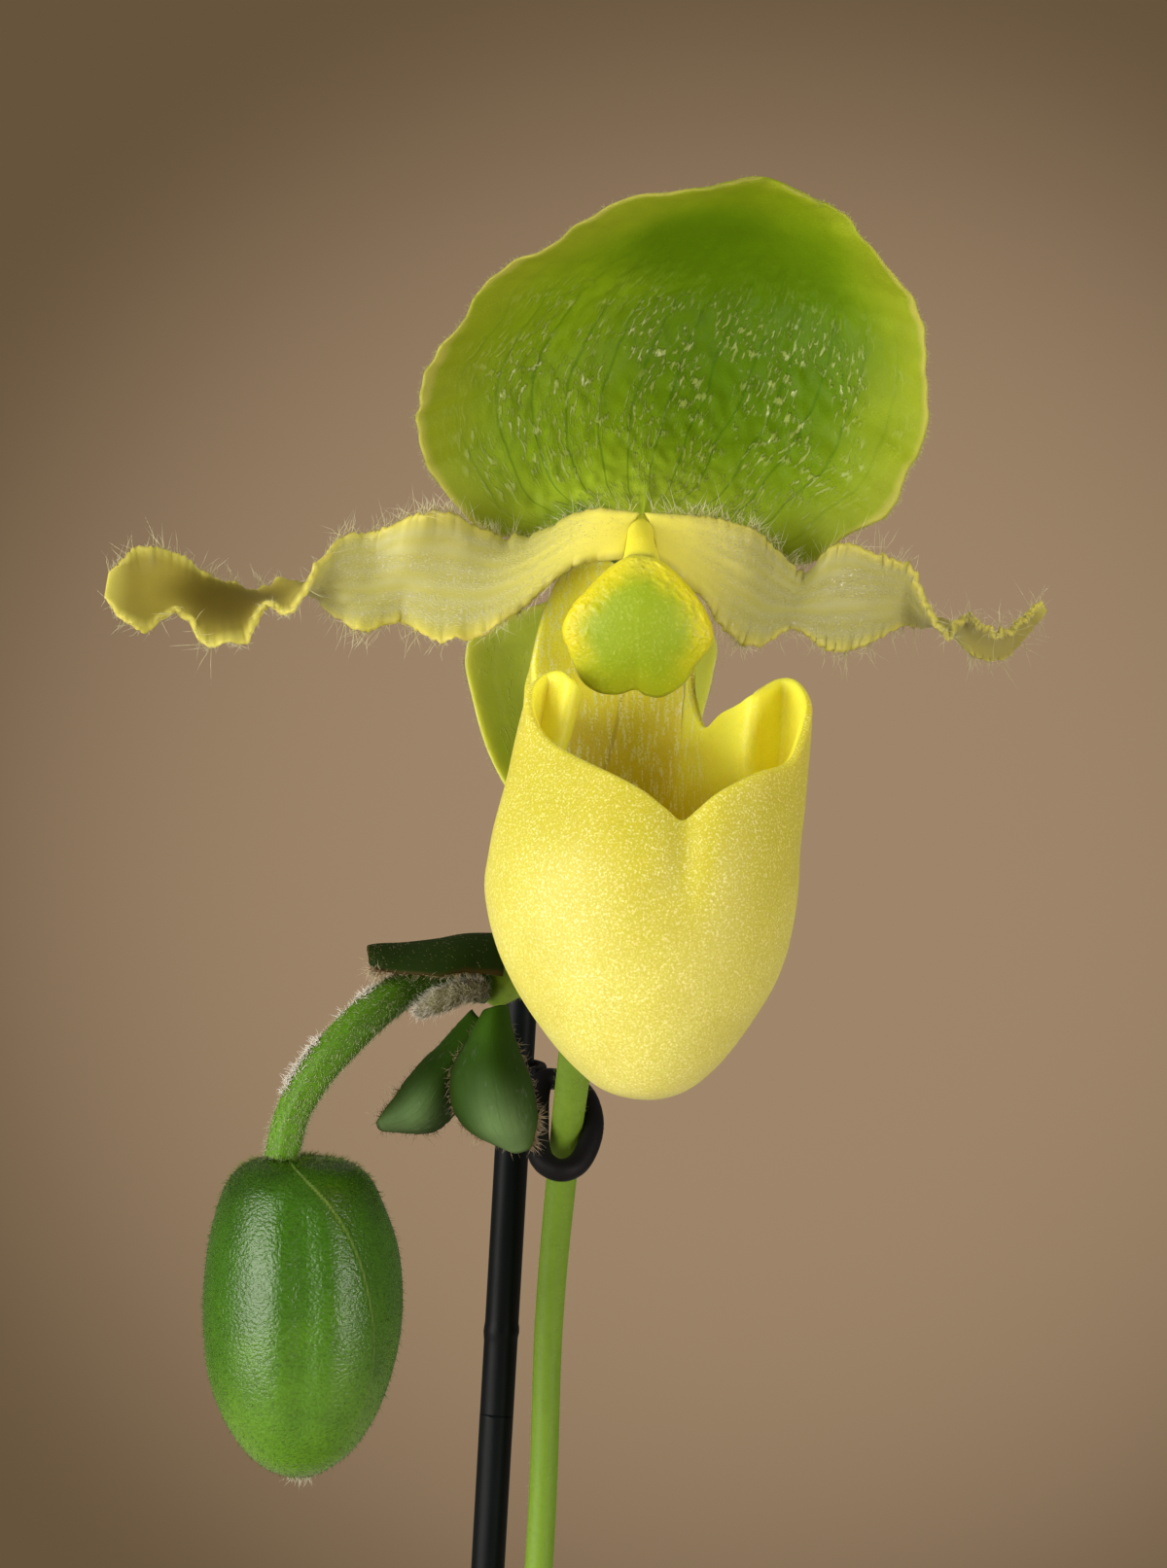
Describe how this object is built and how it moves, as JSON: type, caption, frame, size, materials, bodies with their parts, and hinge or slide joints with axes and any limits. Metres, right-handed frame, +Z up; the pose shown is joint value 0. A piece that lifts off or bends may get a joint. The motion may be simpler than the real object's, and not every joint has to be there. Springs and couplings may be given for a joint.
{
  "type": "potted slipper orchid",
  "caption": "Potted slipper orchid: a yellow pouch-lipped flower and a bud on a staked stem above a fan of strap leaves in a bark-filled pot.",
  "frame": {"origin": "centre of the pot's flat base", "axes": "+Z up along the plant, -Y toward the side that the flower faces, +X to the viewer's right"},
  "size_m": [0.3064, 0.12, 0.4266],
  "materials": {
    "pot": "matte",
    "bark": "rough",
    "root": "rough",
    "leaf": "satin",
    "stem": "satin, finely hairy",
    "stake": "gloss",
    "clip": "matte",
    "sepal": "satin, pale margin",
    "synsepal": "satin, dark veins",
    "petal": "satin, green veins, hairy margin",
    "lip": "satin",
    "column": "gloss",
    "bract": "matte, pale bloom, fringed",
    "wool": "woolly",
    "bud": "gloss, finely hairy"
  },
  "bodies": {
    "root": {"pot": "pot", "potting_mix": "bark", "crown_and_roots": "root", "leaf_1": "leaf", "leaf_2": "leaf", "leaf_3": "leaf", "leaf_4": "leaf", "leaf_5": "leaf", "leaf_6": "leaf", "peduncle": "stem", "stake": "stake", "stake_clip": "clip", "flower_ovary": "stem", "flower_bract": "bract", "dorsal_sepal": "sepal", "synsepal": "synsepal", "petal_left": "petal", "petal_right": "petal", "lip": "lip", "column": "column", "bract_upper": "bract", "bract_lower_front": "bract", "bract_lower_back": "bract", "rachis_tip": "wool", "bud_ovary": "stem", "bud": "bud"}
  },
  "joints": []
}
